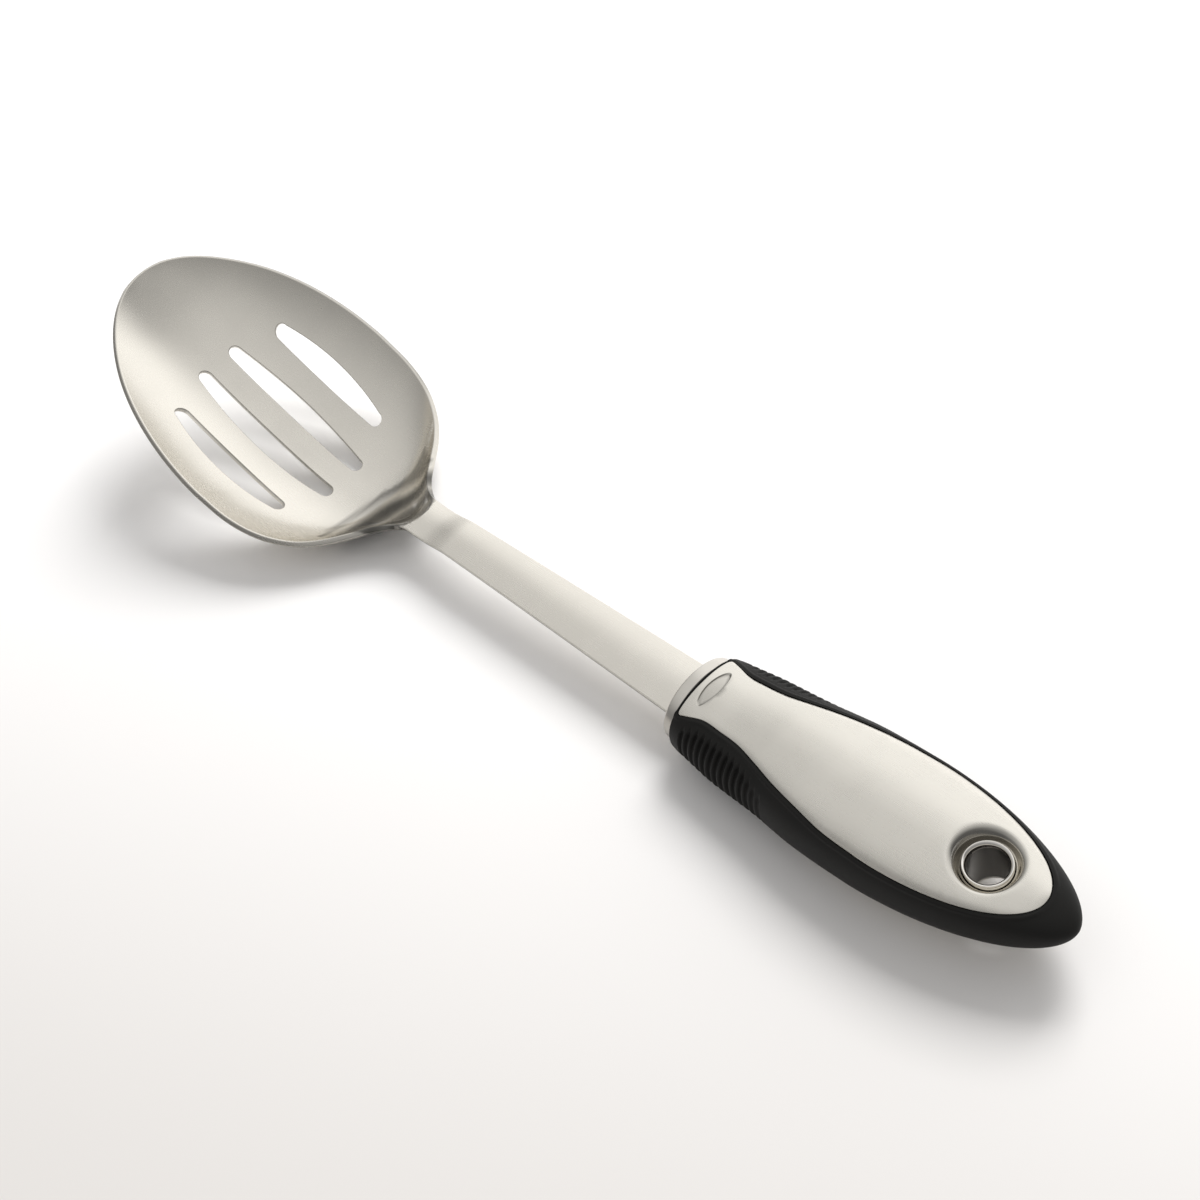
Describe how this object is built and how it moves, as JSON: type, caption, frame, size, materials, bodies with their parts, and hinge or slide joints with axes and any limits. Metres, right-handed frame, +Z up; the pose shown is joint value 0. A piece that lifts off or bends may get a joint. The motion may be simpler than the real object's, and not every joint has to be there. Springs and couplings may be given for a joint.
{
  "type": "slotted serving spoon",
  "caption": "Long-handled serving spoon with a pitched bowl cut by draining slots, steel cover plates on a soft black grip, and a hanging eyelet.",
  "frame": {"origin": "middle of the spoon's length and width, on the flat surface it lies on", "axes": "+X from the bowl's tip towards the end of the handle, +Y across the spoon, +Z up out of the bowl"},
  "size_m": [0.3079, 0.0682, 0.0434],
  "materials": {
    "brushed_steel": "brushed satin bowl, polished edges and shaft",
    "satin_steel": "satin with fine lengthwise grain",
    "polished_steel": "polished",
    "pin_steel": "plain",
    "dark_plastic": "moulded, matte",
    "black_rubber": "soft matte"
  },
  "bodies": {
    "root": {"spoon_blank": "brushed_steel", "collar": "satin_steel", "handle_core": "dark_plastic", "soft_grip": "black_rubber", "top_cover": "satin_steel", "bottom_cover": "satin_steel", "hang_eyelet": "polished_steel", "front_pin": "pin_steel", "rear_pin": "pin_steel"}
  },
  "joints": []
}
